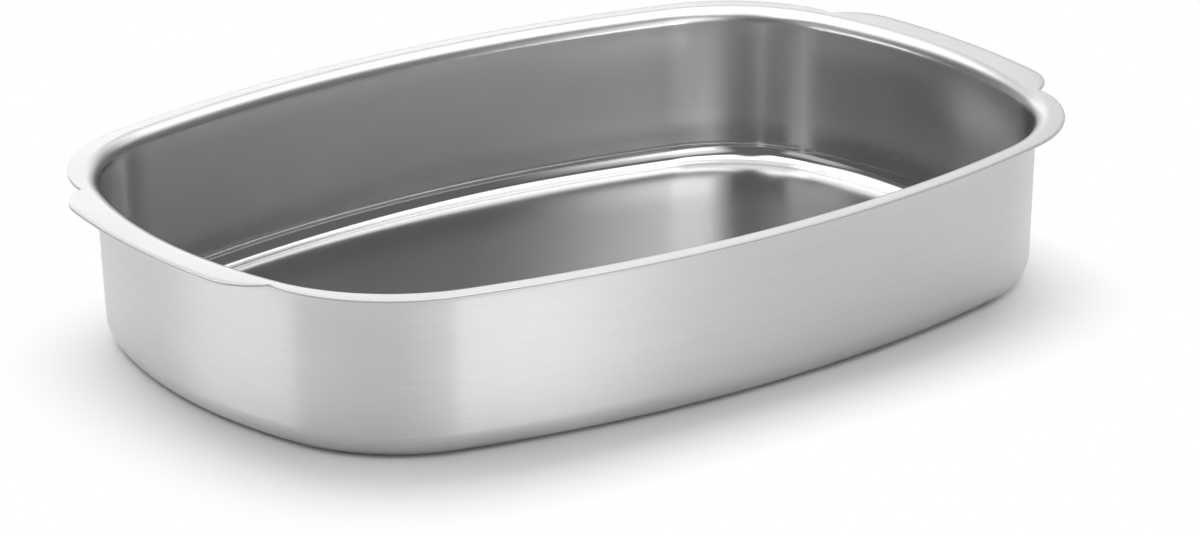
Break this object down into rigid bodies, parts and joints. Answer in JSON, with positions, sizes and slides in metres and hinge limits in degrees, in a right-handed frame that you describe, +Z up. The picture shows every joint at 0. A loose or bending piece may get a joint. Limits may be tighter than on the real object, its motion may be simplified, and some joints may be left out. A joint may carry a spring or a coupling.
{
  "type": "roasting pan",
  "caption": "Deep rectangular roasting pan drawn from clad steel sheet, with bowed sides, a flat turned-out rim and an integral lifting ear at each end.",
  "frame": {"origin": "on the standing surface, under the middle of the floor", "axes": "+X along the pan towards one ear, +Y across it, +Z up out of the mouth"},
  "size_m": [0.3592, 0.2446, 0.06],
  "materials": {
    "liner_steel": "polished inside, satin on the rim",
    "core_aluminium": "rolled",
    "shell_steel": "brushed round the wall"
  },
  "bodies": {
    "root": {"inner_liner": "liner_steel", "heat_core": "core_aluminium", "outer_shell": "shell_steel"}
  },
  "joints": []
}
